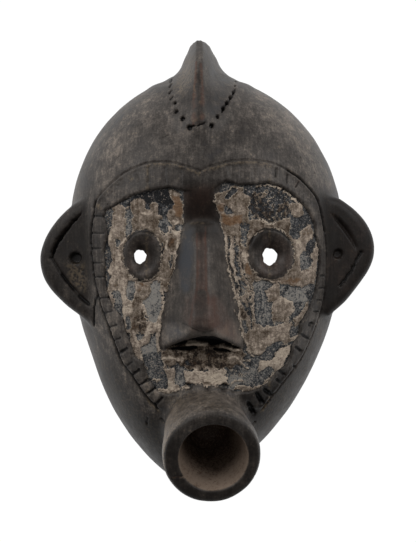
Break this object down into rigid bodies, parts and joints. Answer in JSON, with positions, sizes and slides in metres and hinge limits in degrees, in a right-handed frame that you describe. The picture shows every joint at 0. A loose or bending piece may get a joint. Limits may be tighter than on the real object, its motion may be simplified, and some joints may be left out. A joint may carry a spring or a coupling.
{
  "type": "miniature mask",
  "caption": "Small carved wooden mask, hollow behind, with a pointed crest, lug ears, a sunk heart-shaped face, pierced ring eyes, a wedge nose and a trumpet mouth.",
  "frame": {"origin": "under the middle of the outline, in the plane of the flat back rim that the mask lies on", "axes": "+Z out of the face, +Y towards the crest, +X towards the ear on the right of the picture"},
  "size_m": [0.1112, 0.1506, 0.0599],
  "materials": {
    "carved_wood": "dark handled wood with a low sheen, and worn pale clay over blue-black ground in the sunk face"
  },
  "bodies": {
    "root": {"mask": "carved_wood"}
  },
  "joints": []
}
